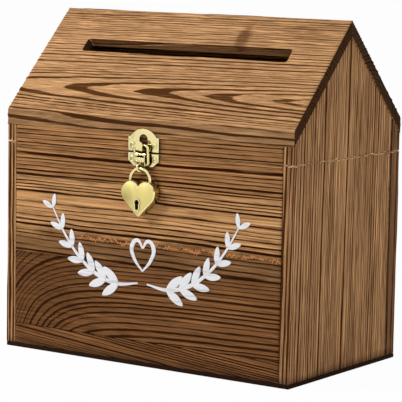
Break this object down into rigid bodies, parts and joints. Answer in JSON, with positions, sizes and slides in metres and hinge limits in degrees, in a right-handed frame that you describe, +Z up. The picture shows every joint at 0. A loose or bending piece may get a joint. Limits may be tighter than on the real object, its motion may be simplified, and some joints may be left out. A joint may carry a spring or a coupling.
{
  "type": "wedding card box",
  "caption": "House-shaped wooden wedding card box with a card slot in its hinged roof, a brass toggle latch and a heart padlock",
  "frame": {"origin": "middle of the underside of the base board", "axes": "+Z up, -Y towards the front with the latch, +X to the right seen from the front"},
  "size_m": [0.251, 0.1585, 0.251],
  "materials": {
    "roof_wood": "torched and brushed softwood, golden tan",
    "front_wood": "torched and brushed softwood, brown with dark lines",
    "side_wood": "torched and brushed softwood, upright grain",
    "dark_base": "charred thin board",
    "latch_brass": "pale polished brass plate",
    "lock_brass": "satin pale brass with bright edges",
    "steel": "plain bright steel"
  },
  "bodies": {
    "box": {"base_board": "dark_base", "front_bottom_strip": "front_wood", "front_lower_board": "front_wood", "front_middle_board": "front_wood", "front_top_board": "front_wood", "rear_lower_board": "front_wood", "rear_upper_board": "front_wood", "left_side_board": "side_wood", "left_side_edge_strip": "side_wood", "right_side_board": "side_wood", "right_side_edge_strip": "side_wood", "base_nails": "steel", "left_hinge_box_leaf": "latch_brass", "right_hinge_box_leaf": "latch_brass", "left_hinge_pin": "latch_brass", "right_hinge_pin": "latch_brass", "box_hinge_screws": "latch_brass", "latch_base_plate": "latch_brass", "base_plate_screws": "latch_brass", "lever_pin": "latch_brass", "lock_eye": "latch_brass"},
    "lid": {"roof_front_board": "roof_wood", "roof_rear_board": "roof_wood", "left_gable": "side_wood", "left_gable_edge_strip": "side_wood", "right_gable": "side_wood", "right_gable_edge_strip": "side_wood", "lid_front_rail": "front_wood", "lid_rear_rail": "front_wood", "left_hinge_lid_leaf": "latch_brass", "right_hinge_lid_leaf": "latch_brass", "lid_hinge_screws": "latch_brass", "catch_plate": "latch_brass", "catch_plate_screws": "latch_brass"},
    "lever": {"toggle_lever": "latch_brass"},
    "loop": {"draw_loop": "latch_brass"},
    "shackle": {"padlock_shackle": "lock_brass"},
    "case": {"padlock_front_shell": "lock_brass", "padlock_back_plate": "lock_brass", "keyhole_rim": "lock_brass", "key_post": "lock_brass", "bolt_spring": "steel"},
    "bolt": {"lock_bolt": "lock_brass"}
  },
  "joints": [
    {"name": "lid_hinge", "type": "hinge", "parent": "box", "child": "lid", "pos_m": [0, 0.0753, 0.154], "axis": [-1, 0, 0], "range_deg": [0, 180]},
    {"name": "lever_pivot", "type": "hinge", "parent": "box", "child": "lever", "pos_m": [0, -0.0762, 0.1532], "axis": [-1, 0, 0], "range_deg": [0, 90]},
    {"name": "loop_pivot", "type": "hinge", "parent": "lever", "child": "loop", "pos_m": [0, -0.0754, 0.146], "axis": [-1, 0, 0], "range_deg": [-60, 0]},
    {"name": "padlock_swing", "type": "hinge", "parent": "box", "child": "shackle", "pos_m": [0, -0.07715, 0.14335], "axis": [-1, 0, 0], "range_deg": [0, 80]},
    {"name": "case_drop", "type": "slide", "parent": "shackle", "child": "case", "axis": [0, 0, -1], "range_m": [0, 0.0045]},
    {"name": "bolt_draw", "type": "slide", "parent": "case", "child": "bolt", "axis": [-1, 0, 0], "range_m": [0, 0.0045]}
  ],
  "couplings": [
    {"joint": "loop_pivot", "follows": "lever_pivot", "ratio": -0.6},
    {"joint": "bolt_draw", "follows": "case_drop", "ratio": 1}
  ]
}
